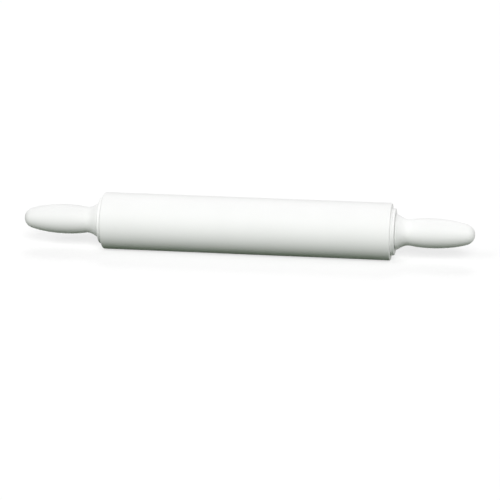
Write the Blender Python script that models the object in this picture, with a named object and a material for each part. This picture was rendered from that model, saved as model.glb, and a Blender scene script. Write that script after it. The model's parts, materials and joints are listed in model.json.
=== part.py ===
# Plastic rolling pin with a thick barrel that turns on two ball bearings. The handles stay still in the hands,
# because they are screwed onto a steel axle that runs right through the barrel.
# X runs along the pin and +Z is up. The origin is the middle of the barrel, on its axis.

import math

import bmesh
import bpy
from mathutils import Matrix, Vector
from mathutils.geometry import interpolate_bezier

MM = 0.001

# Clearances
SEAT_GAP = 0.3 * MM
RUNNING_GAP = 0.5 * MM
HANDLE_GAP = 0.3 * MM

# Barrel
BARREL_LENGTH = 406 * MM
BARREL_DIAMETER = 80 * MM
BARREL_EDGE_RADIUS = 2 * MM
BORE_CLEARANCE = 2.5 * MM

# Ball bearings
BEARING_BORE = 15 * MM
BEARING_DIAMETER = 35 * MM
RACE_WALL = 1.725 * MM
RACE_HALF_ANGLE = math.radians(60)
BALL_SPACING = 3.3 * MM
RING_CHAMFER = 0.5 * MM
SEAL_THICKNESS = 0.6 * MM
SEAL_INSET = 0.2 * MM
SEAL_RECESS_DEPTH = 1.05 * MM
CAGE_THICKNESS = 2.4 * MM
CAGE_BACK_WALL = 0.5 * MM
CAGE_TO_SEAL = 0.925 * MM
CAGE_LIP_SHARE = 0.6

# Bearing caps, the collars that show at the barrel's ends
CAP_STEP = 7.25 * MM
CAP_SEAT_DEPTH = 0.5 * MM
CAP_THICKNESS = 5.7 * MM
CAP_EDGE_RADIUS = 1.4 * MM
CAP_SPIGOT_LENGTH = 5.5 * MM
CAP_SPIGOT_WALL = 2.8 * MM

# Axle
AXLE_SHOULDER = 2.3 * MM
AXLE_END_STEP = 1.2 * MM
AXLE_TIP_INSET = 2 * MM
AXLE_CHAMFER = 1 * MM

# Spacer sleeves, washers and threaded inserts
SLEEVE_WALL = 2.7 * MM
WASHER_DIAMETER = 28 * MM
WASHER_THICKNESS = 1.5 * MM
INSERT_WALL = 3.7 * MM
INSERT_LENGTH = 32 * MM
INSERT_GROOVE_WIDTH = 6.4 * MM
INSERT_GROOVE_DEPTH = 0.6 * MM
INSERT_CHAMFER = 0.6 * MM

# Handles, measured from the face that looks at the barrel
HANDLE_LENGTH = 109.7 * MM
FLANGE_DIAMETER = 49.2 * MM
FLANGE_RIM = 2.2 * MM
FLANGE_CHAMFER = 0.5 * MM
NECK_DIAMETER = 36.4 * MM
NECK_FROM_FACE = 18.5 * MM
GRIP_DIAMETER = 41.5 * MM
GRIP_FROM_FACE = 50 * MM
TIP_RADIUS = 14.7 * MM
TIP_ARC = math.radians(68)
DRILL_POINT = math.radians(31)

# How far the handle's outline keeps its direction at each of its named points, as a share of the stretch there
RIM_PULL = 0.27
RIM_FALL = 0.32
NECK_PULL_IN = 0.44
NECK_PULL_OUT = 0.14
GRIP_PULL_IN = 0.69
GRIP_PULL_OUT = 0.48
TIP_PULL = 0.13

# Facets round each kind of piece
BARREL_SIDES = 96
HOUSING_SIDES = 36
CAP_SIDES = 36
HANDLE_SIDES = 32
AXLE_SIDES = 20
RING_SIDES = 24
CAGE_SIDES = 32
CAGE_POCKET_SIDES = 16
FILLET_STEPS = 3
RACE_STEPS = 5
HANDLE_STEPS = 5
SHARP_EDGE = math.radians(30)

# The bearing's inner sizes, which fill the space between its bore and its outside
PITCH_RADIUS = (BEARING_BORE + BEARING_DIAMETER) / 4
RACE_RADIUS = (BEARING_DIAMETER - BEARING_BORE) / 4 - RACE_WALL
BALL_RADIUS = RACE_RADIUS - SEAT_GAP
BALL_COUNT = int(math.tau * PITCH_RADIUS / (2 * BALL_RADIUS + BALL_SPACING))
LAND_OFFSET = RACE_RADIUS * math.cos(RACE_HALF_ANGLE)
OUTER_LAND = PITCH_RADIUS + LAND_OFFSET
INNER_LAND = PITCH_RADIUS - LAND_OFFSET
SEAL_RECESS = OUTER_LAND + SEAL_RECESS_DEPTH
CAGE_BACK = RACE_RADIUS + CAGE_BACK_WALL
SEAL_FACE = CAGE_BACK + CAGE_TO_SEAL
BEARING_WIDTH = 2 * (SEAL_FACE + SEAL_THICKNESS + SEAL_INSET)

# Radii of what fits in and on the bearing
HOUSING_RADIUS = BEARING_DIAMETER / 2 + SEAT_GAP
SEAT_RADIUS = BEARING_BORE / 2 - SEAT_GAP
AXLE_RADIUS = SEAT_RADIUS + AXLE_SHOULDER
AXLE_END_RADIUS = SEAT_RADIUS - AXLE_END_STEP
BARREL_BORE_RADIUS = AXLE_RADIUS + BORE_CLEARANCE
SLEEVE_BORE_RADIUS = SEAT_RADIUS + SEAT_GAP
SLEEVE_RADIUS = SLEEVE_BORE_RADIUS + SLEEVE_WALL
CAP_RADIUS = BARREL_DIAMETER / 2 - CAP_STEP
CAP_BORE_RADIUS = SLEEVE_RADIUS + RUNNING_GAP
INSERT_BORE_RADIUS = AXLE_END_RADIUS + SEAT_GAP
INSERT_RADIUS = INSERT_BORE_RADIUS + INSERT_WALL

# Places along the axis, measured outwards from the plane of the barrel's end face
CAP_BACK = SEAT_GAP - CAP_SEAT_DEPTH
CAP_FACE = CAP_BACK + CAP_THICKNESS
SPIGOT_END = CAP_BACK - CAP_SPIGOT_LENGTH
BEARING_FACE = SPIGOT_END - SEAT_GAP
BEARING_MIDDLE = BEARING_FACE - BEARING_WIDTH / 2
HOUSING_BOTTOM = BEARING_FACE - BEARING_WIDTH - SEAT_GAP
HANDLE_FACE = CAP_FACE + HANDLE_GAP
WASHER_BACK = HANDLE_FACE + WASHER_THICKNESS
INSERT_START = WASHER_BACK + SEAT_GAP
INSERT_END = INSERT_START + INSERT_LENGTH
AXLE_TIP = INSERT_END - AXLE_TIP_INSET
CUTTER_OVERRUN = 2 * MM

SIDES = {"left": -1, "right": 1}


def finish(name, colour, roughness, metallic=0.0):
    """A Principled material."""
    made = bpy.data.materials.new(name)
    made.use_nodes = True
    shader = made.node_tree.nodes["Principled BSDF"]
    shader.inputs["Base Color"].default_value = (*colour, 1.0)
    shader.inputs["Roughness"].default_value = roughness
    shader.inputs["Metallic"].default_value = metallic
    made.diffuse_color = (*colour, 1.0)
    return made


def arc(centre, radius, first, last, steps):
    """Points of an arc in an outline. Angles run from the axis direction towards the outside."""
    turns = [first + (last - first) * i / steps for i in range(steps + 1)]
    return [(centre[0] + radius * math.cos(t), centre[1] + radius * math.sin(t)) for t in turns]


def bend(start, start_pull, end_pull, end, steps):
    """Points of a smooth stretch of an outline, without the point that it starts from."""
    knots = [Vector((*p, 0.0)) for p in (start, start_pull, end_pull, end)]
    return [(p.x, p.y) for p in interpolate_bezier(*knots, steps + 1)[1:]]


def turned(name, outline, sides, material, closed=True):
    """A mesh turned round the X axis from an outline of (place along the axis, radius) points.

    A closed outline makes a ring. An open one starts and ends on the axis and makes a solid piece.
    A facet, not an edge, looks straight down."""
    bm = bmesh.new()
    verts = [bm.verts.new((along, 0.0, radius)) for along, radius in outline]
    edges = [bm.edges.new(pair) for pair in zip(verts, verts[1:])]
    if closed:
        edges.append(bm.edges.new((verts[-1], verts[0])))
    half_facet = Matrix.Rotation(math.pi / sides, 3, "X")
    bmesh.ops.rotate(bm, verts=verts, cent=(0, 0, 0), matrix=half_facet)
    bmesh.ops.spin(
        bm, geom=verts + edges, cent=(0, 0, 0), axis=(1, 0, 0), angle=math.tau, steps=sides, use_merge=True
    )
    bmesh.ops.remove_doubles(bm, verts=bm.verts, dist=0.001 * MM)
    return to_mesh(bm, name, material)


def to_mesh(bm, name, material):
    """A smooth-shaded mesh, with its faces pointing outwards, from a bmesh that it uses up."""
    bmesh.ops.recalc_face_normals(bm, faces=bm.faces)
    mesh = bpy.data.meshes.new(name)
    bm.to_mesh(mesh)
    bm.free()
    mesh.materials.append(material)
    mesh.shade_smooth()
    mesh.set_sharp_from_angle(angle=SHARP_EDGE)
    return mesh


def axis_empty(name):
    """An empty on the pin's axis that carries the pieces which turn together."""
    empty = bpy.data.objects.new(name, None)
    bpy.context.collection.objects.link(empty)
    return empty


def place(name, mesh, parent, location=(0, 0, 0), turn=0.0):
    """An object on its parent, turned about the upright axis."""
    placed = bpy.data.objects.new(name, mesh)
    bpy.context.collection.objects.link(placed)
    placed.parent = parent
    placed.location = location
    placed.rotation_euler = (0, 0, turn)
    return placed


def place_at_end(name, side, mesh, parent, from_end=0.0):
    """An object at one end of the barrel, facing outwards there."""
    along = SIDES[side] * (BARREL_LENGTH / 2 + from_end)
    turn = 0.0 if side == "right" else math.pi
    return place(f"{side}_{name}", mesh, parent, (along, 0, 0), turn)


def cut(target, mesh, name):
    """Cut a mesh, lying in the target's own frame, out of the target."""
    cutter = place(name, mesh, target)
    cutter.hide_render = True
    cutter.display_type = "WIRE"
    modifier = target.modifiers.new(name, "BOOLEAN")
    modifier.operation = "DIFFERENCE"
    modifier.solver = "EXACT"
    modifier.object = cutter
    return cutter


def mirrored(right_half):
    """The left half of an outline that is alike at both ends."""
    return [(-along, radius) for along, radius in reversed(right_half)]


def ring_outline(back, front, inside, outside):
    """A plain ring."""
    return [(back, inside), (back, outside), (front, outside), (front, inside)]


def barrel_outline():
    """A plain roller with both edges rounded."""
    half = BARREL_LENGTH / 2
    edge = BARREL_EDGE_RADIUS
    centre = (half - edge, BARREL_DIAMETER / 2 - edge)
    right_half = [*arc(centre, edge, math.pi / 2, 0, FILLET_STEPS), (half, 0)]
    return mirrored(right_half) + right_half


def barrel_bore_outline():
    """The through bore with a bearing housing and a shallow seat for the cap at each end."""
    half = BARREL_LENGTH / 2
    end = half + CUTTER_OVERRUN
    seat = half - CAP_SEAT_DEPTH
    step = half + HOUSING_BOTTOM
    right_half = [
        (step, BARREL_BORE_RADIUS),
        (step, HOUSING_RADIUS),
        (seat, HOUSING_RADIUS),
        (seat, CAP_RADIUS + SEAT_GAP),
        (end, CAP_RADIUS + SEAT_GAP),
        (end, 0),
    ]
    return mirrored(right_half) + right_half


def cap_outline():
    """A stepped collar: a flange seated in the barrel's end face and a spigot that holds the bearing in."""
    edge = CAP_EDGE_RADIUS
    spigot = BEARING_DIAMETER / 2
    return [
        (CAP_FACE, CAP_BORE_RADIUS),
        *arc((CAP_FACE - edge, CAP_RADIUS - edge), edge, 0, math.pi / 2, FILLET_STEPS),
        (CAP_BACK, CAP_RADIUS),
        (CAP_BACK, spigot),
        (SPIGOT_END + RING_CHAMFER, spigot),
        (SPIGOT_END, spigot - RING_CHAMFER),
        (SPIGOT_END, spigot - CAP_SPIGOT_WALL),
        (CAP_BACK, spigot - CAP_SPIGOT_WALL),
        (CAP_BACK, CAP_BORE_RADIUS),
    ]


def axle_outline():
    """A rod with a shoulder for each bearing and a reduced end for each handle."""
    half = BARREL_LENGTH / 2
    shoulder = half + HOUSING_BOTTOM
    seat_end = half + WASHER_BACK
    tip = half + AXLE_TIP
    right_half = [
        (shoulder, AXLE_RADIUS),
        (shoulder, SEAT_RADIUS),
        (seat_end, SEAT_RADIUS),
        (seat_end, AXLE_END_RADIUS),
        (tip - AXLE_CHAMFER, AXLE_END_RADIUS),
        (tip, AXLE_END_RADIUS - AXLE_CHAMFER),
        (tip, 0),
    ]
    return mirrored(right_half) + right_half


def outer_ring_outline():
    """The bearing's outer ring, with its ball groove and a recess for each seal."""
    half = BEARING_WIDTH / 2
    outside = BEARING_DIAMETER / 2
    recess = SEAL_FACE - SEAT_GAP
    groove = arc(
        (0, PITCH_RADIUS), RACE_RADIUS, math.pi / 2 + RACE_HALF_ANGLE, math.pi / 2 - RACE_HALF_ANGLE, RACE_STEPS
    )
    return [
        (-half, SEAL_RECESS),
        (-recess, SEAL_RECESS),
        (-recess, OUTER_LAND),
        *groove,
        (recess, OUTER_LAND),
        (recess, SEAL_RECESS),
        (half, SEAL_RECESS),
        (half, outside - RING_CHAMFER),
        (half - RING_CHAMFER, outside),
        (-half + RING_CHAMFER, outside),
        (-half, outside - RING_CHAMFER),
    ]


def inner_ring_outline():
    """The bearing's inner ring, with its ball groove."""
    half = BEARING_WIDTH / 2
    bore = BEARING_BORE / 2
    groove = arc(
        (0, PITCH_RADIUS), RACE_RADIUS, -math.pi / 2 + RACE_HALF_ANGLE, -math.pi / 2 - RACE_HALF_ANGLE, RACE_STEPS
    )
    return [
        (half, INNER_LAND),
        *groove,
        (-half, INNER_LAND),
        (-half, bore + RING_CHAMFER),
        (-half + RING_CHAMFER, bore),
        (half - RING_CHAMFER, bore),
        (half, bore + RING_CHAMFER),
    ]


def seal_outline():
    """A flat seal that is held in the outer ring's recess and runs close to the inner ring."""
    outside = SEAL_RECESS - SEAT_GAP
    lip = INNER_LAND + SEAT_GAP
    return ring_outline(-SEAL_THICKNESS / 2, SEAL_THICKNESS / 2, lip, outside)


def cage_outline():
    """The ring of the cage before its pockets are cut."""
    front = RACE_RADIUS * CAGE_LIP_SHARE
    return ring_outline(-CAGE_BACK, front, PITCH_RADIUS - CAGE_THICKNESS / 2, PITCH_RADIUS + CAGE_THICKNESS / 2)


def insert_outline():
    """A threaded insert with a groove round it that the handle's plastic grips."""
    middle = (INSERT_START + INSERT_END) / 2
    groove_half = INSERT_GROOVE_WIDTH / 2
    return [
        (INSERT_START, INSERT_BORE_RADIUS),
        (INSERT_START, INSERT_RADIUS),
        (middle - groove_half, INSERT_RADIUS),
        (middle - groove_half, INSERT_RADIUS - INSERT_GROOVE_DEPTH),
        (middle + groove_half, INSERT_RADIUS - INSERT_GROOVE_DEPTH),
        (middle + groove_half, INSERT_RADIUS),
        (INSERT_END - INSERT_CHAMFER, INSERT_RADIUS),
        (INSERT_END, INSERT_RADIUS - INSERT_CHAMFER),
        (INSERT_END, INSERT_BORE_RADIUS),
    ]


def handle_outline():
    """A turned handle: a flange, a flare down to the neck, an egg-shaped grip and a blunt round tip."""
    flange = FLANGE_DIAMETER / 2
    rim = (HANDLE_FACE + FLANGE_RIM, flange)
    neck = (HANDLE_FACE + NECK_FROM_FACE, NECK_DIAMETER / 2)
    grip = (HANDLE_FACE + GRIP_FROM_FACE, GRIP_DIAMETER / 2)
    tip_centre = (HANDLE_FACE + HANDLE_LENGTH - TIP_RADIUS, 0)
    tip = arc(tip_centre, TIP_RADIUS, TIP_ARC, 0, HANDLE_STEPS)

    flare_run = neck[0] - rim[0]
    rim_pull = (rim[0] + RIM_PULL * flare_run, rim[1] - RIM_FALL * (rim[1] - neck[1]))
    flare = bend(rim, rim_pull, (neck[0] - NECK_PULL_IN * flare_run, neck[1]), neck, HANDLE_STEPS)

    swell_run = grip[0] - neck[0]
    neck_pull = (neck[0] + NECK_PULL_OUT * swell_run, neck[1])
    swell = bend(neck, neck_pull, (grip[0] - GRIP_PULL_IN * swell_run, grip[1]), grip, HANDLE_STEPS - 1)

    tip_run = TIP_PULL * (tip[0][0] - grip[0])
    tip_pull = (tip[0][0] - tip_run, tip[0][1] + tip_run / math.tan(TIP_ARC))
    grip_pull = (grip[0] + GRIP_PULL_OUT * (tip[0][0] - grip[0]), grip[1])
    taper = bend(grip, grip_pull, tip_pull, tip[0], HANDLE_STEPS)
    return [
        (HANDLE_FACE, 0),
        (HANDLE_FACE, flange - FLANGE_CHAMFER),
        (HANDLE_FACE + FLANGE_CHAMFER, flange),
        rim,
        *flare,
        *swell,
        *taper,
        *tip[1:-1],
        (HANDLE_FACE + HANDLE_LENGTH, 0),
    ]


def handle_bore_outline():
    """The recess for the washer, the blind bore for the insert and the drill's point at its bottom."""
    recess = WASHER_DIAMETER / 2 + SEAT_GAP
    bore = INSERT_RADIUS + SEAT_GAP
    bottom = INSERT_END + SEAT_GAP
    return [
        (HANDLE_FACE - CUTTER_OVERRUN, 0),
        (HANDLE_FACE - CUTTER_OVERRUN, recess),
        (INSERT_START, recess),
        (INSERT_START, bore),
        (bottom, bore),
        (bottom + bore * math.tan(DRILL_POINT), 0),
    ]


def cage_pockets(material):
    """A round cutter for each ball, pointing outwards from the bearing's axis."""
    bm = bmesh.new()
    for i in range(BALL_COUNT):
        around = Matrix.Rotation(math.tau * i / BALL_COUNT, 4, "X")
        outwards = Matrix.Translation((0, 0, PITCH_RADIUS))
        bmesh.ops.create_cone(
            bm,
            cap_ends=True,
            segments=CAGE_POCKET_SIDES,
            radius1=RACE_RADIUS,
            radius2=RACE_RADIUS,
            depth=CAGE_THICKNESS + CUTTER_OVERRUN,
            matrix=around @ outwards,
        )
    return to_mesh(bm, "cage_pockets", material)


def ball_mesh(material):
    bm = bmesh.new()
    bmesh.ops.create_icosphere(bm, subdivisions=2, radius=BALL_RADIUS)
    mesh = to_mesh(bm, "ball", material)
    mesh.set_sharp_from_angle(angle=math.pi)
    return mesh


def make_barrel(turning):
    white = finish("barrel_plastic", (0.86, 0.87, 0.85), 0.42)
    barrel = place("barrel", turned("barrel", barrel_outline(), BARREL_SIDES, white, closed=False), turning)
    bore = turned("barrel_bore", barrel_bore_outline(), HOUSING_SIDES, white, closed=False)
    bore.shade_flat()
    cut(barrel, bore, "barrel_bore")


def make_caps(turning):
    mesh = turned("bearing_cap", cap_outline(), CAP_SIDES, finish("cap_plastic", (0.85, 0.86, 0.84), 0.4))
    for side in SIDES:
        place_at_end("bearing_cap", side, mesh, turning)


def make_axle(held):
    steel = finish("axle_steel", (0.62, 0.62, 0.61), 0.28, 1.0)
    place("axle", turned("axle", axle_outline(), AXLE_SIDES, steel, closed=False), held)


def make_bearings(held, turning):
    ring_steel = finish("ring_steel", (0.66, 0.66, 0.66), 0.22, 1.0)
    outer = turned("outer_ring", outer_ring_outline(), RING_SIDES, ring_steel)
    inner = turned("inner_ring", inner_ring_outline(), RING_SIDES, ring_steel)
    seal = turned("seal", seal_outline(), RING_SIDES, finish("seal_rubber", (0.03, 0.03, 0.03), 0.6))
    seal_place = SEAL_FACE + SEAL_THICKNESS / 2
    for side in SIDES:
        place_at_end("outer_ring", side, outer, turning, BEARING_MIDDLE)
        place_at_end("inner_ring", side, inner, held, BEARING_MIDDLE)
        place_at_end("outer_seal", side, seal, turning, BEARING_MIDDLE + seal_place)
        place_at_end("inner_seal", side, seal, turning, BEARING_MIDDLE - seal_place)


def make_cages():
    nylon = finish("cage_nylon", (0.75, 0.7, 0.58), 0.5)
    ring = turned("ball_cage", cage_outline(), CAGE_SIDES, nylon)
    pockets = cage_pockets(nylon)
    ball = ball_mesh(finish("ball_steel", (0.72, 0.72, 0.72), 0.12, 1.0))
    for side in SIDES:
        orbit = axis_empty(f"{side}_cage_orbit")
        cage = place_at_end("ball_cage", side, ring, orbit, BEARING_MIDDLE)
        cut(cage, pockets, f"{side}_cage_pockets")
        for i in range(BALL_COUNT):
            angle = math.tau * i / BALL_COUNT
            centre = (0, PITCH_RADIUS * math.sin(angle), PITCH_RADIUS * math.cos(angle))
            place(f"{side}_ball_{i + 1}", ball, cage, centre)


def make_spacers(held):
    sleeve_steel = finish("sleeve_steel", (0.6, 0.6, 0.59), 0.3, 1.0)
    washer_steel = finish("washer_steel", (0.64, 0.64, 0.63), 0.3, 1.0)
    sleeve_outline = ring_outline(
        BEARING_FACE + SEAT_GAP, HANDLE_FACE - SEAT_GAP, SLEEVE_BORE_RADIUS, SLEEVE_RADIUS
    )
    washer_outline = ring_outline(HANDLE_FACE, WASHER_BACK, SEAT_RADIUS + SEAT_GAP, WASHER_DIAMETER / 2)
    sleeve = turned("spacer_sleeve", sleeve_outline, AXLE_SIDES, sleeve_steel)
    washer = turned("washer", washer_outline, AXLE_SIDES, washer_steel)
    for side in SIDES:
        place_at_end("spacer_sleeve", side, sleeve, held)
        place_at_end("washer", side, washer, held)


def make_handles(held):
    white = finish("handle_plastic", (0.86, 0.87, 0.85), 0.38)
    body = turned("handle", handle_outline(), HANDLE_SIDES, white, closed=False)
    bore = turned("handle_bore", handle_bore_outline(), AXLE_SIDES, white, closed=False)
    bore.shade_flat()
    brass = finish("insert_brass", (0.72, 0.55, 0.25), 0.32, 1.0)
    insert = turned("handle_insert", insert_outline(), AXLE_SIDES, brass)
    for side in SIDES:
        handle = place_at_end("handle", side, body, held)
        cut(handle, bore, f"{side}_handle_bore")
        place_at_end("handle_insert", side, insert, held)


def clear_scene():
    for old in list(bpy.data.objects):
        bpy.data.objects.remove(old, do_unlink=True)


def main():
    clear_scene()
    held = axis_empty("held_axis")
    turning = axis_empty("turning_axis")
    make_barrel(turning)
    make_caps(turning)
    make_axle(held)
    make_bearings(held, turning)
    make_cages()
    make_spacers(held)
    make_handles(held)
    bpy.context.view_layer.update()


main()
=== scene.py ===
import json
import math

import bmesh
import bpy
from mathutils import Matrix, Vector
from mathutils.geometry import interpolate_bezier


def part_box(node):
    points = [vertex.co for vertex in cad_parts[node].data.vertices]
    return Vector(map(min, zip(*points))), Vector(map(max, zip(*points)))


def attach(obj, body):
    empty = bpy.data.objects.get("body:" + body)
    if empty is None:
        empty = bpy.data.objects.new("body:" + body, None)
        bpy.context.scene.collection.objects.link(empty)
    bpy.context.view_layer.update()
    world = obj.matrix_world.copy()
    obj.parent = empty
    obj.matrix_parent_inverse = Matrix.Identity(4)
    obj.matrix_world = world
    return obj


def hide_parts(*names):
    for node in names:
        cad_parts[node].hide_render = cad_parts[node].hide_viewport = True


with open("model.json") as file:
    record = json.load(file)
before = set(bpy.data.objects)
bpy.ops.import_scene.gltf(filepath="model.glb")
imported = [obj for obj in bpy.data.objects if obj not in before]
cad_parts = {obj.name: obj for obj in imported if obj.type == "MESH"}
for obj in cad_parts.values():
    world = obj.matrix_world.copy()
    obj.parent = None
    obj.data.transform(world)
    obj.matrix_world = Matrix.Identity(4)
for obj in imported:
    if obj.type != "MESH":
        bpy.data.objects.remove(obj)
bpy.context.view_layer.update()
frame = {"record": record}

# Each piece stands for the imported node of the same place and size, with round surfaces where the node
# has facets. The pieces lie round the X axis, and places along it are measured outwards from the end
# face of the barrel.
MM = 0.001
UM = 0.001 * MM
SIDES = ("left", "right")
BARREL_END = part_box("barrel")[1].x

# Clearances
SEAT_GAP = 0.3 * MM
HANDLE_GAP = 0.3 * MM

# Barrel
BARREL_RADIUS = 40 * MM
BARREL_EDGE = 2 * MM
BARREL_BORE = 12 * MM

# Ball bearings: the faces of their seals and cages are measured from the bearing's middle
BEARING_BORE = 7.5 * MM
BEARING_RADIUS = 17.5 * MM
BEARING_HALF_WIDTH = 5.5 * MM
BEARING_MIDDLE = -11.5 * MM
PITCH_RADIUS = 12.5 * MM
RACE_RADIUS = 3.275 * MM
RACE_HALF_ANGLE = math.radians(60)
BALL_RADIUS = 2.975 * MM
BALL_COUNT = 8
LAND_OFFSET = RACE_RADIUS * math.cos(RACE_HALF_ANGLE)
SEAL_FACE = 4.7 * MM
SEAL_THICKNESS = 0.6 * MM
SEAL_RECESS_DEPTH = 1.05 * MM
SEAL_CHANNEL_DEPTH = 0.12 * MM
CAGE_THICKNESS = 2.4 * MM
CAGE_BACK = 3.775 * MM
CAGE_LIP_SHARE = 0.6
CAGE_FRONT = CAGE_LIP_SHARE * RACE_RADIUS

# Bearing caps
CAP_RADIUS = 32.75 * MM
CAP_BORE = 10.7 * MM
CAP_SEAT_DEPTH = 0.5 * MM
CAP_BACK = -0.2 * MM
CAP_FACE = 5.5 * MM
CAP_EDGE = 1.4 * MM
SPIGOT_END = -5.7 * MM
SPIGOT_WALL = 2.8 * MM

# Axle
AXLE_RADIUS = 9.5 * MM
SEAT_RADIUS = 7.2 * MM
AXLE_END_RADIUS = 6 * MM
AXLE_TIP = 37.6 * MM
AXLE_CHAMFER = 1 * MM

# Spacer sleeves, washers and threaded inserts
SLEEVE_RADIUS = 10.2 * MM
WASHER_RADIUS = 14 * MM
WASHER_THICKNESS = 1.5 * MM
INSERT_BORE = 6.3 * MM
INSERT_RADIUS = 10 * MM
INSERT_LENGTH = 32 * MM
INSERT_GROOVE_WIDTH = 6.4 * MM
INSERT_GROOVE_DEPTH = 0.6 * MM

# Handles: the rim, neck and grip are measured from the face that looks at the barrel
HANDLE_FACE = CAP_FACE + HANDLE_GAP
HANDLE_LENGTH = 109.7 * MM
FLANGE_RADIUS = 24.6 * MM
FLANGE_RIM = 2.2 * MM
FLANGE_EDGE = 0.4 * MM
NECK_RADIUS = 18.2 * MM
NECK_FROM_FACE = 18.5 * MM
GRIP_RADIUS = 20.75 * MM
GRIP_FROM_FACE = 50 * MM
TIP_RADIUS = 14.7 * MM
TIP_ARC = math.radians(68)
DRILL_POINT = math.radians(31)

# How far the handle's outline keeps its direction at its named points, as a share of the stretch there
RIM_PULL = 0.27
RIM_FALL = 0.32
NECK_PULL_IN = 0.44
NECK_PULL_OUT = 0.14
GRIP_PULL_IN = 0.69
GRIP_PULL_OUT = 0.48
TIP_PULL = 0.13

# Places that follow from the pieces before
WASHER_BACK = HANDLE_FACE + WASHER_THICKNESS
INSERT_START = WASHER_BACK + SEAT_GAP
INSERT_END = INSERT_START + INSERT_LENGTH
BEARING_FACE = SPIGOT_END - SEAT_GAP
HOUSING_RADIUS = BEARING_RADIUS + SEAT_GAP
HOUSING_BOTTOM = BEARING_FACE - 2 * BEARING_HALF_WIDTH - SEAT_GAP

# Fillets: two radii, and how much of the shorter side at its corner a fillet may take
SOFT = 0.35 * MM
FINE = 0.15 * MM
FILLET_SHARE = 0.4

# How far a fillet's curve is drawn towards its corner, which makes it very nearly round
ROUNDNESS = 0.5523

# How far outside a fillet its supporting points lie, as a share of the same side
SUPPORT_SHARE = 0.08

# How finely the pieces are made
FILLET_STEPS = 6
CURVE_STEPS = 18
RACE_STEPS = 14
LONGEST_STEP = 12 * MM
BIG_SIDES = 192
HANDLE_SIDES = 144
SMALL_SIDES = 96
POCKET_SIDES = 48
BALL_SUBDIVISIONS = 4
SHARP_EDGE = math.radians(35)
ON_AXIS = 0.001 * MM


# Outlines: lists of (place along the axis, radius, fillet) points


def arc(centre, radius, first, last, steps):
    """Points of an arc. Angles run from the axis direction towards the outside."""
    turns = [first + (last - first) * i / steps for i in range(steps + 1)]
    return [(centre[0] + radius * math.cos(t), centre[1] + radius * math.sin(t), 0) for t in turns]


def curve(knots, steps):
    """Points of the smooth curve from the first of four knots to the last, drawn towards the other two."""
    return interpolate_bezier(*[Vector((*p, 0)) for p in knots], steps + 1)


def bend(start, start_pull, end_pull, end):
    """Points of a smooth stretch, without the point that it starts from."""
    return [(p.x, p.y, 0) for p in curve((start, start_pull, end_pull, end), CURVE_STEPS)[1:]]


def ring(back, front, inside, outside):
    """A plain ring."""
    return [(back, inside, SOFT), (back, outside, SOFT), (front, outside, SOFT), (front, inside, SOFT)]


def mirrored(right_half):
    """The left half of an outline that is alike at both ends."""
    return [(-along, radius, fillet) for along, radius, fillet in reversed(right_half)]


def barrel_outline():
    """The bored barrel, with a housing for a bearing and a shallow seat for a cap in each end."""
    seat = BARREL_END - CAP_SEAT_DEPTH
    step = BARREL_END + HOUSING_BOTTOM
    right_half = [
        (step, BARREL_BORE, SOFT),
        (step, HOUSING_RADIUS, FINE),
        (seat, HOUSING_RADIUS, SOFT),
        (seat, CAP_RADIUS + SEAT_GAP, FINE),
        (BARREL_END, CAP_RADIUS + SEAT_GAP, FINE),
        (BARREL_END, BARREL_RADIUS, BARREL_EDGE),
    ]
    return right_half + mirrored(right_half)


def cap_outline():
    """The bearing cap: a collar, and a spigot that holds the bearing in its housing."""
    return [
        (CAP_FACE, CAP_BORE, SOFT),
        (CAP_FACE, CAP_RADIUS, CAP_EDGE),
        (CAP_BACK, CAP_RADIUS, FINE),
        (CAP_BACK, BEARING_RADIUS, FINE),
        (SPIGOT_END, BEARING_RADIUS, SOFT),
        (SPIGOT_END, BEARING_RADIUS - SPIGOT_WALL, SOFT),
        (CAP_BACK, BEARING_RADIUS - SPIGOT_WALL, SOFT),
        (CAP_BACK, CAP_BORE, SOFT),
    ]


def handle_outline():
    """The turned handle with its washer recess and its blind bore, from the drill's point to the tip."""
    bore = INSERT_RADIUS + SEAT_GAP
    bottom = INSERT_END + SEAT_GAP
    recess = WASHER_RADIUS + SEAT_GAP
    rim = (HANDLE_FACE + FLANGE_RIM, FLANGE_RADIUS)
    neck = (HANDLE_FACE + NECK_FROM_FACE, NECK_RADIUS)
    grip = (HANDLE_FACE + GRIP_FROM_FACE, GRIP_RADIUS)
    tip_centre = (HANDLE_FACE + HANDLE_LENGTH - TIP_RADIUS, 0)
    tip = arc(tip_centre, TIP_RADIUS, TIP_ARC, 0, CURVE_STEPS)

    flare_run = neck[0] - rim[0]
    rim_pull = (rim[0] + RIM_PULL * flare_run, rim[1] - RIM_FALL * (rim[1] - neck[1]))
    flare = bend(rim, rim_pull, (neck[0] - NECK_PULL_IN * flare_run, neck[1]), neck)

    swell_run = grip[0] - neck[0]
    neck_pull = (neck[0] + NECK_PULL_OUT * swell_run, neck[1])
    swell = bend(neck, neck_pull, (grip[0] - GRIP_PULL_IN * swell_run, grip[1]), grip)

    taper_run = tip[0][0] - grip[0]
    tip_run = TIP_PULL * taper_run
    tip_pull = (tip[0][0] - tip_run, tip[0][1] + tip_run / math.tan(TIP_ARC))
    taper = bend(grip, (grip[0] + GRIP_PULL_OUT * taper_run, grip[1]), tip_pull, tip[0][:2])
    return [
        (bottom + bore * math.tan(DRILL_POINT), 0, 0),
        (bottom, bore, SOFT),
        (INSERT_START, bore, SOFT),
        (INSERT_START, recess, FINE),
        (HANDLE_FACE, recess, SOFT),
        (HANDLE_FACE, FLANGE_RADIUS, FLANGE_EDGE),
        (*rim, 0),
        *flare,
        *swell,
        *taper,
        *tip[1:-1],
        (HANDLE_FACE + HANDLE_LENGTH, 0, 0),
    ]


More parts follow.
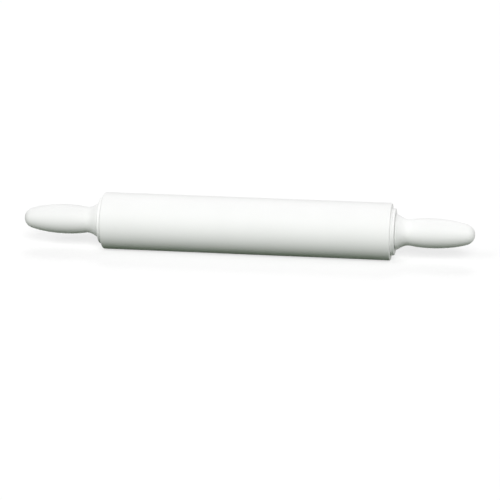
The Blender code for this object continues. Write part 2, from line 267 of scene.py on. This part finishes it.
def axle_outline():
    """The axle, with a shoulder for each bearing and a thinner end for each handle."""
    shoulder = BARREL_END + HOUSING_BOTTOM
    seat_end = BARREL_END + WASHER_BACK
    tip = BARREL_END + AXLE_TIP
    right_half = [
        (shoulder, AXLE_RADIUS, SOFT),
        (shoulder, SEAT_RADIUS, FINE),
        (seat_end, SEAT_RADIUS, SOFT),
        (seat_end, AXLE_END_RADIUS, FINE),
        (tip - AXLE_CHAMFER, AXLE_END_RADIUS, FINE),
        (tip, AXLE_END_RADIUS - AXLE_CHAMFER, FINE),
        (tip, 0, 0),
    ]
    return mirrored(right_half) + right_half


def race_groove(middle):
    """The groove that the balls run in. middle is the direction from a ball's centre to its deepest line."""
    first = middle + RACE_HALF_ANGLE
    last = middle - RACE_HALF_ANGLE
    return arc((0, PITCH_RADIUS), RACE_RADIUS, first, last, RACE_STEPS)


def outer_ring_outline():
    """A bearing's outer ring, with its groove and a recess for each seal."""
    half = BEARING_HALF_WIDTH
    land = PITCH_RADIUS + LAND_OFFSET
    recess = SEAL_FACE - SEAT_GAP
    return [
        (-half, land + SEAL_RECESS_DEPTH, FINE),
        (-recess, land + SEAL_RECESS_DEPTH, FINE),
        (-recess, land, FINE),
        *race_groove(math.pi / 2),
        (recess, land, FINE),
        (recess, land + SEAL_RECESS_DEPTH, FINE),
        (half, land + SEAL_RECESS_DEPTH, FINE),
        (half, BEARING_RADIUS, SOFT),
        (-half, BEARING_RADIUS, SOFT),
    ]


def inner_ring_outline():
    """A bearing's inner ring with its groove."""
    half = BEARING_HALF_WIDTH
    land = PITCH_RADIUS - LAND_OFFSET
    return [
        (half, land, FINE),
        *race_groove(-math.pi / 2),
        (-half, land, FINE),
        (-half, BEARING_BORE, SOFT),
        (half, BEARING_BORE, SOFT),
    ]


def seal_outline():
    """A moulded seal with a shallow channel round each side."""
    half = SEAL_THICKNESS / 2
    lip = PITCH_RADIUS - LAND_OFFSET + SEAT_GAP
    rim = PITCH_RADIUS + LAND_OFFSET + SEAL_RECESS_DEPTH - SEAT_GAP
    third = (rim - lip) / 3
    low = lip + third
    high = rim - third
    right_half = [
        (half, lip, FINE),
        (half, low, FINE),
        (half - SEAL_CHANNEL_DEPTH, low + SEAL_CHANNEL_DEPTH, FINE),
        (half - SEAL_CHANNEL_DEPTH, high - SEAL_CHANNEL_DEPTH, FINE),
        (half, high, FINE),
        (half, rim, FINE),
    ]
    return right_half + mirrored(right_half)


def insert_outline():
    """The threaded insert, with a groove round its outside that locks it in the handle."""
    middle = (INSERT_START + INSERT_END) / 2
    half = INSERT_GROOVE_WIDTH / 2
    return [
        (INSERT_START, INSERT_BORE, SOFT),
        (INSERT_START, INSERT_RADIUS, SOFT),
        (middle - half, INSERT_RADIUS, FINE),
        (middle - half, INSERT_RADIUS - INSERT_GROOVE_DEPTH, FINE),
        (middle + half, INSERT_RADIUS - INSERT_GROOVE_DEPTH, FINE),
        (middle + half, INSERT_RADIUS, FINE),
        (INSERT_END, INSERT_RADIUS, SOFT),
        (INSERT_END, INSERT_BORE, SOFT),
    ]


# Meshes


def with_next(items, closed):
    """Pairs of each item and the next one. In a closed row the last one's next is the first."""
    return zip(items, items[1:] + items[:1] if closed else items[1:])


def rounded_corner(corner, before, after, fillet, openness):
    """The (along, radius, corner value) points of a rounded corner, and a supporting point on each side of
    it.

    before and after lead from the corner to its neighbours. openness is the corner value in the corner's
    middle: 1 at an outer corner, which is rubbed paler, and -1 in an inner one, which is darkened with
    painted shade."""
    room = min(before.length, after.length)
    reach = min(fillet / math.tan(before.angle(after) / 2), FILLET_SHARE * room)
    support = SUPPORT_SHARE * room
    start = corner + before.normalized() * reach
    end = corner + after.normalized() * reach
    knots = (start, start.lerp(corner, ROUNDNESS), end.lerp(corner, ROUNDNESS), end)
    wear_and_shade_values = [openness * math.sin(math.pi * k / FILLET_STEPS) for k in range(FILLET_STEPS + 1)]
    return [
        (*(start + before.normalized() * support), 0.0),
        *[(p.x, p.y, wear_and_shade) for p, wear_and_shade in zip(curve(knots, FILLET_STEPS), wear_and_shade_values)],
        (*(end + after.normalized() * support), 0.0),
    ]


def softened(outline, closed):
    """The outline with its corners rounded, as (along, radius, corner value) points.

    The corner value is up to 1 at an outer corner, which is rubbed paler, and down to -1 in an inner one,
    which is darkened with painted shade."""
    count = len(outline)
    winding = sum(a[0] * b[1] - b[0] * a[1] for a, b in with_next(outline, closed=True))
    points = []
    for i, (along, radius, fillet) in enumerate(outline):
        if not fillet or not (closed or 0 < i < count - 1):
            points.append((along, radius, 0.0))
            continue
        corner = Vector((along, radius))
        before = Vector(outline[i - 1][:2]) - corner
        after = Vector(outline[(i + 1) % count][:2]) - corner
        openness = 1.0 if after.cross(before) * winding > 0 else -1.0
        points += rounded_corner(corner, before, after, fillet, openness)
    return points


def divided(points, closed):
    """The points with more between any two that are further apart than the longest step."""
    result = []
    for a, b in with_next(points, closed):
        steps = max(1, math.ceil(math.dist(a[:2], b[:2]) / LONGEST_STEP))
        result += [tuple(p + (q - p) * k / steps for p, q in zip(a, b)) for k in range(steps)]
    return result if closed else result + [points[-1]]


def turned(name, outline, sides, closed=True):
    """A mesh turned round the X axis. An outline that isn't closed starts and ends on the axis."""
    verts, wear_and_shade, rings = [], [], []
    for along, radius, corner_wear_and_shade in divided(softened(outline, closed), closed):
        count = 1 if radius < ON_AXIS else sides
        rings.append([len(verts) + j % count for j in range(sides)])
        turns = [math.tau * j / sides for j in range(count)]
        verts += [(along, radius * math.sin(t), radius * math.cos(t)) for t in turns]
        wear_and_shade += [corner_wear_and_shade] * count
    faces = []
    for one, two in with_next(rings, closed):
        for j in range(sides):
            k = (j + 1) % sides
            faces.append(tuple(dict.fromkeys((one[j], one[k], two[k], two[j]))))
    mesh = bpy.data.meshes.new(name)
    mesh.from_pydata(verts, [], faces)
    # Each point's corner value: rubbed paler on outer corners, darkened with painted shade in inner ones.
    mesh.attributes.new("wear_and_shade", "FLOAT", "POINT").data.foreach_set("value", wear_and_shade)
    return outwards(mesh)


def outwards(mesh):
    """The mesh with its faces pointing outwards, shaded."""
    bm = bmesh.new()
    bm.from_mesh(mesh)
    bmesh.ops.recalc_face_normals(bm, faces=bm.faces)
    bm.to_mesh(mesh)
    bm.free()
    return shaded(mesh)


def shaded(mesh):
    """The mesh shaded smooth but for its sharp edges."""
    mesh.shade_smooth()
    mesh.set_sharp_from_angle(angle=SHARP_EDGE)
    return mesh


def pocket_mesh():
    """A cylinder through the cage at each ball, in one mesh."""
    pocket_place = Matrix.Translation((0, 0, PITCH_RADIUS))
    right_through = 2 * CAGE_THICKNESS
    bm = bmesh.new()
    for i in range(BALL_COUNT):
        bmesh.ops.create_cone(
            bm,
            cap_ends=True,
            segments=POCKET_SIDES,
            radius1=RACE_RADIUS,
            radius2=RACE_RADIUS,
            depth=right_through,
            matrix=Matrix.Rotation(math.tau * i / BALL_COUNT, 4, "X") @ pocket_place,
        )
    mesh = bpy.data.meshes.new("pockets")
    bm.to_mesh(mesh)
    bm.free()
    return outwards(mesh)


def cage_mesh():
    """A snap cage: a ring with an open round pocket for each ball."""
    inside = PITCH_RADIUS - CAGE_THICKNESS / 2
    outside = PITCH_RADIUS + CAGE_THICKNESS / 2
    body = turned("cage", ring(-CAGE_BACK, CAGE_FRONT, inside, outside), SMALL_SIDES)
    cage = bpy.data.objects.new("cage", body)
    cutter = bpy.data.objects.new("pockets", pocket_mesh())
    for made in (cage, cutter):
        bpy.context.scene.collection.objects.link(made)
    pockets = cage.modifiers.new("pockets", "BOOLEAN")
    pockets.operation = "DIFFERENCE"
    pockets.solver = "EXACT"
    pockets.object = cutter
    mesh = bpy.data.meshes.new_from_object(cage.evaluated_get(bpy.context.evaluated_depsgraph_get()))
    for made in (cage, cutter):
        bpy.data.objects.remove(made)
    return shaded(mesh)


def ball_mesh():
    bm = bmesh.new()
    bmesh.ops.create_icosphere(bm, subdivisions=BALL_SUBDIVISIONS, radius=BALL_RADIUS)
    mesh = bpy.data.meshes.new("ball")
    bm.to_mesh(mesh)
    bm.free()
    mesh.shade_smooth()
    return mesh


# Material nodes

# Where a mix node has its colours, which share their names with its sockets of other kinds
MIX_FACTOR = 0
MIX_FIRST = 6
MIX_SECOND = 7
MIX_RESULT = 2


def node(tree, kind, inputs=None, **settings):
    """A new node with its settings, and with each input set to a value or linked to a node's output."""
    made = tree.nodes.new(kind)
    for name, value in settings.items():
        setattr(made, name, value)
    for name, value in (inputs or {}).items():
        if isinstance(value, bpy.types.NodeSocket):
            tree.links.new(value, made.inputs[name])
        else:
            made.inputs[name].default_value = value
    return made


def math_node(tree, operation, *values, clamp=False):
    """The result of a calculation with numbers and the outputs of other nodes."""
    made = node(tree, "ShaderNodeMath", dict(enumerate(values)), operation=operation, use_clamp=clamp)
    return made.outputs[0]


def ranged(tree, value, low, high, to_low, to_high):
    """value's stretch from low to high, mapped onto another and held to its ends."""
    inputs = {"Value": value, "From Min": low, "From Max": high, "To Min": to_low, "To Max": to_high}
    return node(tree, "ShaderNodeMapRange", inputs).outputs["Result"]


def noise(tree, size, detail, vector=None, along=None):
    """Noise whose patches are about size across, in space or along one number."""
    inputs = {"Scale": 1 / size, "Detail": detail}
    if along is None:
        inputs["Vector"] = vector
        return node(tree, "ShaderNodeTexNoise", inputs).outputs["Fac"]
    inputs["W"] = along
    return node(tree, "ShaderNodeTexNoise", inputs, noise_dimensions="1D").outputs["Fac"]


def mixed(tree, factor, first, second):
    """The first colour where factor is 0 and the second where it is 1."""
    inputs = {MIX_FACTOR: factor, MIX_FIRST: first, MIX_SECOND: second}
    return node(tree, "ShaderNodeMix", inputs, data_type="RGBA").outputs[MIX_RESULT]


# Surfaces

# How fine the noises are, and between which values, on a scale of 0 to 1, most of them rise to full effect
MOTTLE_DETAIL = 4
MOTTLE_STRETCH = (0.3, 0.7)
GRAIN_DETAIL = 3
GRAIN_STRETCH = (0.35, 0.65)
RING_DETAIL = 3
SCUFF_DETAIL = 2
SCUFF_STRETCH = (0.6, 0.72)

# Corners are rubbed at least this much where the grain lies low
LEAST_RUB = 0.4

# What the mottling and the rings give to the unevenness of the gloss
MOTTLE_SHARE = 0.7
RING_SHARE = 0.3
GLOSS_STRETCH = (0.35, 0.65)


def place_on_piece(tree):
    """A point's place, shifted by an amount of each piece's own, and its place along the turned outline."""
    place = node(tree, "ShaderNodeTexCoord").outputs["Object"]
    own = node(tree, "ShaderNodeObjectInfo").outputs["Random"]
    shifted = node(tree, "ShaderNodeVectorMath", {0: place, 1: own}, operation="ADD").outputs[0]
    parts = node(tree, "ShaderNodeSeparateXYZ", {0: place}).outputs
    flat = node(tree, "ShaderNodeCombineXYZ", {"Y": parts["Y"], "Z": parts["Z"]}).outputs[0]
    radius = node(tree, "ShaderNodeVectorMath", {0: flat}, operation="LENGTH").outputs["Value"]
    return shifted, math_node(tree, "ADD", parts["X"], radius)


def hair_scuffs(tree, shifted, look):
    """1 in thin scuffs that run across the axis, and 0 between them."""
    lengthwise = 1 / look["scuff_length"]
    stretch = (1 / look["scuff_width"], lengthwise, lengthwise)
    drawn = node(tree, "ShaderNodeVectorMath", {0: shifted, 1: stretch}, operation="MULTIPLY").outputs[0]
    return ranged(tree, noise(tree, 1, SCUFF_DETAIL, vector=drawn), *SCUFF_STRETCH, 0, 1)


def surface_tone(tree, look, mottle, grain, scuffs):
    """The colour: mottled, paler in scuffs and on rubbed outer corners, and darker in inner corners with
    painted shade.
    """
    wear_and_shade = node(tree, "ShaderNodeAttribute", attribute_name="wear_and_shade").outputs["Fac"]
    patchy = ranged(tree, grain, *GRAIN_STRETCH, LEAST_RUB, 1)
    outer = math_node(tree, "MULTIPLY", ranged(tree, wear_and_shade, 0, 1, 0, 1), patchy)
    # Painted shade: inner corners are darkened towards the look's dark colour.
    inner = ranged(tree, wear_and_shade, -1, 0, 1, 0)
    spread = ranged(tree, mottle, *MOTTLE_STRETCH, 0, 1)
    tone = mixed(tree, spread, (*look["dark"], 1), (*look["light"], 1))
    for marks, strength, colour in (
        (scuffs, look["scuff_tint"], look["rubbed"]),
        (outer, look["wear_and_shade_tint"], look["rubbed"]),
        (inner, look["wear_and_shade_tint"], look["dark"]),
    ):
        tone = mixed(tree, math_node(tree, "MULTIPLY", marks, strength), tone, (*colour, 1))
    return tone


def surface_roughness(tree, look, mottle, rings, scuffs):
    """The roughness: uneven with the mottling and the rings, and higher in scuffs."""
    ring_part = math_node(tree, "MULTIPLY", rings, RING_SHARE)
    uneven = math_node(tree, "MULTIPLY_ADD", mottle, MOTTLE_SHARE, ring_part)
    roughness = ranged(tree, uneven, *GLOSS_STRETCH, look["smooth"], look["rough"])
    return math_node(tree, "MULTIPLY_ADD", scuffs, look["scuff_rough"], roughness)


def surface_bump(tree, look, rings, grain, scuffs):
    """The fine relief of rings and grain, with the scuffs cut in."""
    height = math_node(tree, "MULTIPLY", rings, look["ring_depth"])
    height = math_node(tree, "MULTIPLY_ADD", grain, look["grain_depth"], height)
    height = math_node(tree, "MULTIPLY_ADD", scuffs, -look["scuff_depth"], height)
    bump = node(tree, "ShaderNodeBump", {"Strength": 1.0, "Distance": 1.0, "Height": height})
    return bump.outputs["Normal"]


def turned_surface(slot, look):
    """A turned or moulded surface, with fine rings round the axis, hair scuffs and rubbed corners."""
    material = bpy.data.materials.new(slot)
    material.use_nodes = True
    tree = material.node_tree
    shifted, along_outline = place_on_piece(tree)
    mottle = noise(tree, look["mottle"], MOTTLE_DETAIL, vector=shifted)
    grain = noise(tree, look["grain"], GRAIN_DETAIL, vector=shifted)
    rings = noise(tree, look["ring"], RING_DETAIL, along=along_outline)
    scuffs = hair_scuffs(tree, shifted, look)

    inputs = tree.nodes["Principled BSDF"].inputs
    tree.links.new(surface_tone(tree, look, mottle, grain, scuffs), inputs["Base Color"])
    tree.links.new(surface_roughness(tree, look, mottle, rings, scuffs), inputs["Roughness"])
    tree.links.new(surface_bump(tree, look, rings, grain, scuffs), inputs["Normal"])
    inputs["Metallic"].default_value = look["metallic"]
    inputs["IOR"].default_value = look["ior"]
    inputs["Specular IOR Level"].default_value = look["specular"]
    return material


# Looks

# A look has light, dark and rubbed colours, the roughness from smooth to rough, how wide its mottles, grain,
# rings and scuffs are, how deep they are cut, how strongly scuffs tint and roughen it, and how strongly
# rubbing pales its outer corners and painted shade darkens its inner ones.
PLASTIC = dict(
    light=(0.88, 0.883, 0.878),
    dark=(0.865, 0.868, 0.862),
    rubbed=(0.895, 0.898, 0.893),
    smooth=0.5,
    rough=0.62,
    metallic=0.0,
    ior=1.38,
    specular=0.5,
    mottle=45 * MM,
    grain=0.5 * MM,
    grain_depth=2 * UM,
    ring=0.45 * MM,
    ring_depth=5 * UM,
    scuff_width=0.5 * MM,
    scuff_length=14 * MM,
    scuff_depth=4 * UM,
    scuff_tint=0.35,
    scuff_rough=0.06,
    # How far outer corners are rubbed paler and inner corners darkened with painted shade
    wear_and_shade_tint=0.5,
)
HANDLE_PLASTIC = PLASTIC | dict(
    light=(0.862, 0.865, 0.86),
    dark=(0.85, 0.853, 0.847),
    rubbed=(0.88, 0.883, 0.878),
    smooth=0.36,
    rough=0.46,
    ring_depth=2 * UM,
    mottle=30 * MM,
)
NYLON = PLASTIC | dict(
    light=(0.78, 0.73, 0.61),
    dark=(0.72, 0.67, 0.54),
    rubbed=(0.8, 0.76, 0.66),
    smooth=0.42,
    rough=0.56,
    mottle=6 * MM,
    grain=0.3 * MM,
    grain_depth=6 * UM,
    ring_depth=0,
)
RUBBER = PLASTIC | dict(
    light=(0.035, 0.035, 0.036),
    dark=(0.024, 0.024, 0.025),
    rubbed=(0.06, 0.06, 0.06),
    smooth=0.55,
    rough=0.72,
    mottle=5 * MM,
    grain=0.2 * MM,
    grain_depth=8 * UM,
    ring_depth=0,
)
STEEL = dict(
    light=(0.66, 0.66, 0.65),
    dark=(0.56, 0.56, 0.56),
    rubbed=(0.75, 0.75, 0.74),
    smooth=0.2,
    rough=0.34,
    metallic=1.0,
    ior=2.5,
    specular=0.5,
    mottle=12 * MM,
    grain=0.25 * MM,
    grain_depth=1 * UM,
    ring=0.2 * MM,
    ring_depth=3 * UM,
    scuff_width=0.2 * MM,
    scuff_length=6 * MM,
    scuff_depth=1 * UM,
    scuff_tint=0.3,
    scuff_rough=0.08,
    wear_and_shade_tint=0.5,
)
POLISHED_STEEL = STEEL | dict(
    light=(0.74, 0.74, 0.74),
    smooth=0.06,
    rough=0.12,
    ring_depth=0,
    scuff_depth=0,
)
BRASS = STEEL | dict(
    light=(0.76, 0.59, 0.29),
    dark=(0.66, 0.49, 0.21),
    rubbed=(0.85, 0.7, 0.42),
    smooth=0.24,
    rough=0.4,
)
LOOKS = {
    "barrel_plastic": PLASTIC | dict(specular=0.25),
    "cap_plastic": PLASTIC | dict(smooth=0.4, rough=0.5, ring_depth=2 * UM, mottle=20 * MM),
    "handle_plastic": HANDLE_PLASTIC,
    "axle_steel": STEEL,
    "ring_steel": STEEL | dict(smooth=0.14, rough=0.24, ring=0.1 * MM, ring_depth=1 * UM),
    "ball_steel": POLISHED_STEEL,
    "cage_nylon": NYLON,
    "seal_rubber": RUBBER,
    "sleeve_steel": STEEL | dict(smooth=0.24, rough=0.38),
    "washer_steel": STEEL | dict(smooth=0.26, rough=0.42, ring_depth=0, grain_depth=2 * UM),
    "insert_brass": BRASS,
}
MATERIALS = {slot: turned_surface(slot, look) for slot, look in LOOKS.items()}


# Pieces

BODY_OF = {name: body for body, names in frame["record"]["behaviour"]["bodies"].items() for name in names}


def stand_for(cad_node, mesh, along=0.0, side="right", offset=(0, 0, 0)):
    """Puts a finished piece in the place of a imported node, riding on that node's body."""
    piece = bpy.data.objects.new(f"finished_{cad_node}", mesh)
    bpy.context.scene.collection.objects.link(piece)
    facing = Matrix.Rotation(0 if side == "right" else math.pi, 4, "Z")
    piece.matrix_world = facing @ Matrix.Translation(Vector((along, 0, 0)) + Vector(offset))
    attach(piece, BODY_OF[cad_node])
    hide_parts(cad_node)


def dressed(mesh, slot):
    """The mesh with the material of a slot."""
    mesh.materials.append(MATERIALS[slot])
    return mesh


def make_pair(name, mesh, slot, along=0.0):
    """The same piece at both ends of the barrel."""
    dressed(mesh, slot)
    for side in SIDES:
        stand_for(f"{side}_{name}", mesh, BARREL_END + along, side)


def make_barrel_and_axle():
    barrel = turned("barrel", barrel_outline(), BIG_SIDES)
    stand_for("barrel", dressed(barrel, "barrel_plastic"))
    axle = turned("axle", axle_outline(), SMALL_SIDES, closed=False)
    stand_for("axle", dressed(axle, "axle_steel"))


def make_caps_and_handles():
    make_pair("bearing_cap", turned("bearing_cap", cap_outline(), BIG_SIDES), "cap_plastic")
    handle = turned("handle", handle_outline(), HANDLE_SIDES, closed=False)
    make_pair("handle", handle, "handle_plastic")


def make_sleeves_washers_and_inserts():
    bore = SEAT_RADIUS + SEAT_GAP
    sleeve = ring(BEARING_FACE + SEAT_GAP, HANDLE_FACE - SEAT_GAP, bore, SLEEVE_RADIUS)
    washer = ring(HANDLE_FACE, WASHER_BACK, bore, WASHER_RADIUS)
    make_pair("spacer_sleeve", turned("spacer_sleeve", sleeve, SMALL_SIDES), "sleeve_steel")
    make_pair("washer", turned("washer", washer, SMALL_SIDES), "washer_steel")
    make_pair("handle_insert", turned("handle_insert", insert_outline(), SMALL_SIDES), "insert_brass")


def make_bearings():
    outer_ring = turned("outer_ring", outer_ring_outline(), SMALL_SIDES)
    inner_ring = turned("inner_ring", inner_ring_outline(), SMALL_SIDES)
    make_pair("outer_ring", outer_ring, "ring_steel", BEARING_MIDDLE)
    make_pair("inner_ring", inner_ring, "ring_steel", BEARING_MIDDLE)
    make_pair("ball_cage", cage_mesh(), "cage_nylon", BEARING_MIDDLE)
    seal_middle = SEAL_FACE + SEAL_THICKNESS / 2
    for name, along in (("outer_seal", seal_middle), ("inner_seal", -seal_middle)):
        seal = turned(name, seal_outline(), SMALL_SIDES)
        make_pair(name, seal, "seal_rubber", BEARING_MIDDLE + along)


def make_balls():
    ball = dressed(ball_mesh(), "ball_steel")
    for side in SIDES:
        for i in range(BALL_COUNT):
            turn = math.tau * i / BALL_COUNT
            centre = (0, PITCH_RADIUS * math.sin(turn), PITCH_RADIUS * math.cos(turn))
            stand_for(f"{side}_ball_{i + 1}", ball, BARREL_END + BEARING_MIDDLE, side, centre)


# Floor and world

# To soft light the floor is a dark green, which tints the undersides a little. Where it is seen it is pale,
# partly by a glow of its own and partly by the lamps, so that it shows the shadow.
FLOOR_SIZE = 16.0
FLOOR_LEVEL = -BARREL_RADIUS
FLOOR_BOUNCE = (0.012, 0.05, 0.0, 1)
FLOOR_SHADED = (0.35, 0.35, 0.35, 1)
FLOOR_GLOW = 0.68
WHITE = (1, 1, 1, 1)


def seen_as_white(tree):
    """1 for a ray from the camera, a reflection or glass, which sees all pale, and 0 for soft light."""
    path = node(tree, "ShaderNodeLightPath").outputs
    direct = math_node(tree, "ADD", path["Is Camera Ray"], path["Is Glossy Ray"])
    return math_node(tree, "ADD", direct, path["Is Transmission Ray"], clamp=True)


def floor_material():
    """Pale where it is seen and dark to soft light."""
    material = bpy.data.materials.new("floor")
    material.use_nodes = True
    material.cycles.emission_sampling = "NONE"
    tree = material.node_tree
    tree.nodes.clear()
    bounce = node(tree, "ShaderNodeBsdfDiffuse", {"Color": FLOOR_BOUNCE}).outputs[0]
    lit = node(tree, "ShaderNodeBsdfDiffuse", {"Color": FLOOR_SHADED}).outputs[0]
    glow = node(tree, "ShaderNodeEmission", {"Strength": FLOOR_GLOW}).outputs[0]
    pale = node(tree, "ShaderNodeAddShader", {0: lit, 1: glow}).outputs[0]
    shown = node(tree, "ShaderNodeMixShader", {0: seen_as_white(tree), 1: bounce, 2: pale}).outputs[0]
    node(tree, "ShaderNodeOutputMaterial", {"Surface": shown})
    return material


def make_floor():
    mesh = bpy.data.meshes.new("floor")
    half = FLOOR_SIZE / 2
    corners = [(-half, -half), (half, -half), (half, half), (-half, half)]
    mesh.from_pydata([(x, y, FLOOR_LEVEL) for x, y in corners], [], [(0, 1, 2, 3)])
    mesh.materials.append(floor_material())
    floor = bpy.data.objects.new("floor", mesh)
    bpy.context.scene.collection.objects.link(floor)


def make_world():
    """A world that looks white where it is seen and gives no soft light of its own."""
    world = bpy.data.worlds.new("sky")
    world.use_nodes = True
    bpy.context.scene.world = world
    tree = world.node_tree
    background = tree.nodes["Background"]
    background.inputs["Color"].default_value = WHITE
    tree.links.new(seen_as_white(tree), background.inputs["Strength"])


# Lamps

LAMPS = {
    # name: (azimuth from the front, elevation and width of the light, all in degrees, and strength)
    "front_lamp": (12, 34, 30, 2.52),
    "left_lamp": (-40, 35, 30, 1.12),
    "right_lamp": (95, 8, 30, 1.2),
    "back_lamp": (188, 40, 30, 1.3),
}


def around(azimuth, elevation):
    """The direction of a point seen from the middle of the pin. Azimuth 0 is the front and 90 the right."""
    turn = math.radians(azimuth)
    rise = math.radians(elevation)
    return Vector((math.sin(turn) * math.cos(rise), -math.cos(turn) * math.cos(rise), math.sin(rise)))


def make_lamps():
    """Large soft lamps, far away, so that they light the pin and the floor evenly."""
    for name, (azimuth, elevation, width, strength) in LAMPS.items():
        data = bpy.data.lights.new(name, "SUN")
        data.angle = math.radians(width)
        data.energy = strength
        lamp = bpy.data.objects.new(name, data)
        lamp.location = around(azimuth, elevation)
        lamp.rotation_euler = (-lamp.location).to_track_quat("-Z", "Y").to_euler()
        lamp.visible_glossy = False
        bpy.context.scene.collection.objects.link(lamp)


# Camera

# The camera isn't rolled, and the middle of the barrel lies above and left of the picture's middle.
CAMERA_AZIMUTH = 8.41
CAMERA_ELEVATION = 16.23
CAMERA_DISTANCE = 3.0
CAMERA_LENS = 154.3
CAMERA_SENSOR = 36
BARREL_LEFT_OF_MIDDLE = 4.45 * MM
BARREL_ABOVE_MIDDLE = 33.69 * MM


def make_camera():
    turn = math.radians(CAMERA_AZIMUTH)
    back = around(CAMERA_AZIMUTH, CAMERA_ELEVATION)
    right = Vector((math.cos(turn), math.sin(turn), 0))
    up = back.cross(right)
    data = bpy.data.cameras.new("camera")
    data.lens = CAMERA_LENS
    data.sensor_width = CAMERA_SENSOR
    camera = bpy.data.objects.new("camera", data)
    camera.matrix_world = Matrix((right, up, back)).transposed().to_4x4()
    camera.location = CAMERA_DISTANCE * back + BARREL_LEFT_OF_MIDDLE * right - BARREL_ABOVE_MIDDLE * up
    bpy.context.scene.collection.objects.link(camera)
    bpy.context.scene.camera = camera


make_barrel_and_axle()
make_caps_and_handles()
make_sleeves_washers_and_inserts()
make_bearings()
make_balls()
make_floor()
make_world()
make_lamps()
make_camera()
bpy.context.scene.view_settings.view_transform = "Standard"
